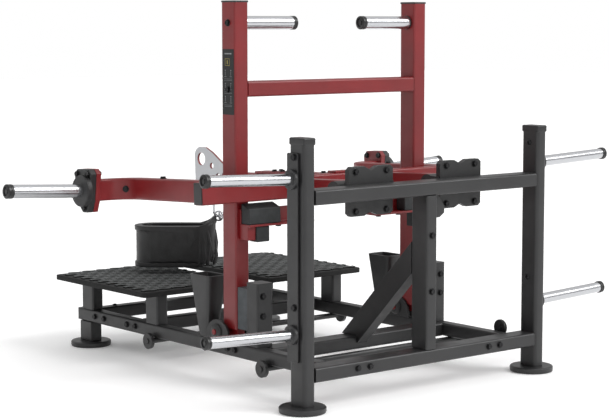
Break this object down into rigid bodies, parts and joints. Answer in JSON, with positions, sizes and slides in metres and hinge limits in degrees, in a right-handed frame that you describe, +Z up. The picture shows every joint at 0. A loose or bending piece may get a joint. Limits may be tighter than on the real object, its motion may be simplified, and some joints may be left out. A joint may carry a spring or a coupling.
{
  "type": "hip belt squat machine",
  "caption": "Plate-loaded hip belt squat machine with lever arm, swing-away release frame, foot decks, storage horns and padded belt.",
  "frame": {"origin": "on the floor under the middle of the machine's outer box", "axes": "+Z up, +X across the machine along the cross bars, +Y from the rear frame to the foot decks"},
  "size_m": [2.132, 1.665, 1.361],
  "materials": {
    "black_paint": "satin powder coat",
    "red_paint": "satin powder coat",
    "cast_black": "matt, on castings and pressed brackets",
    "chrome": "polished",
    "bare_steel": "satin",
    "rubber": "matt, textured treads",
    "leather": "grained"
  },
  "bodies": {
    "frame": {"rear_upright_left": "black_paint", "rear_upright_right": "black_paint", "rear_foot_left": "rubber", "rear_foot_right": "rubber", "front_foot_left": "rubber", "front_foot_right": "rubber", "side_rail_left": "black_paint", "side_rail_right": "black_paint", "stop_post_left": "black_paint", "stop_post_right": "black_paint", "deck_post_rear_left": "black_paint", "deck_post_rear_right": "black_paint", "deck_post_front_left": "black_paint", "deck_post_front_right": "black_paint", "foot_deck_left": "rubber", "foot_deck_right": "rubber", "storage_strip_left": "black_paint", "storage_strip_right": "black_paint", "storage_horn_lower_left": "chrome", "storage_horn_lower_right": "chrome", "storage_horn_upper_left": "chrome", "storage_horn_upper_right": "chrome", "cup_holder_left": "black_paint", "cup_holder_right": "black_paint", "hinge_bracket_left": "cast_black", "hinge_bracket_right": "cast_black", "pivot_block_left": "cast_black", "pivot_block_right": "cast_black", "rear_top_bar": "black_paint", "rear_bottom_bar": "black_paint", "centre_post": "black_paint", "centre_brace": "black_paint", "mid_cross_bar": "black_paint", "deck_cross_bar": "black_paint", "front_cross_bar": "black_paint", "band_rod_rear": "black_paint", "band_rod_front": "black_paint"},
    "release_frame": {"release_upright_left": "red_paint", "release_upright_right": "red_paint", "hand_grip_left": "chrome", "hand_grip_right": "chrome", "support_bracket_left": "red_paint", "support_bracket_right": "red_paint", "arm_rest_block_left": "rubber", "arm_rest_block_right": "rubber", "release_crossbar": "red_paint"},
    "lever_arm": {"pivot_arm_left": "red_paint", "pivot_arm_right": "red_paint", "side_beam_left": "red_paint", "side_beam_right": "red_paint", "horn_clamp_left": "cast_black", "horn_clamp_right": "cast_black", "load_horn_left": "chrome", "load_horn_right": "chrome", "arm_cross_beam": "red_paint", "centre_beam": "red_paint", "hook_plate": "bare_steel"},
    "carabiner": {"carabiner": "chrome"},
    "belt": {"hip_belt": "leather"}
  },
  "joints": [
    {"name": "release_swing", "type": "hinge", "parent": "frame", "child": "release_frame", "pos_m": [0, -0.1775, 0.185], "axis": [-1, 0, 0], "range_deg": [0, 10]},
    {"name": "arm_lift", "type": "hinge", "parent": "frame", "child": "lever_arm", "pos_m": [0, -0.6525, 0.717], "axis": [1, 0, 0], "range_deg": [0, 25]},
    {"name": "carabiner_swing", "type": "hinge", "parent": "lever_arm", "child": "carabiner", "pos_m": [0, 0.4515, 0.666], "axis": [1, 0, 0], "range_deg": [0, 20]},
    {"name": "belt_swing", "type": "hinge", "parent": "carabiner", "child": "belt", "pos_m": [0, 0.4515, 0.53], "axis": [1, 0, 0], "range_deg": [0, 35]}
  ]
}
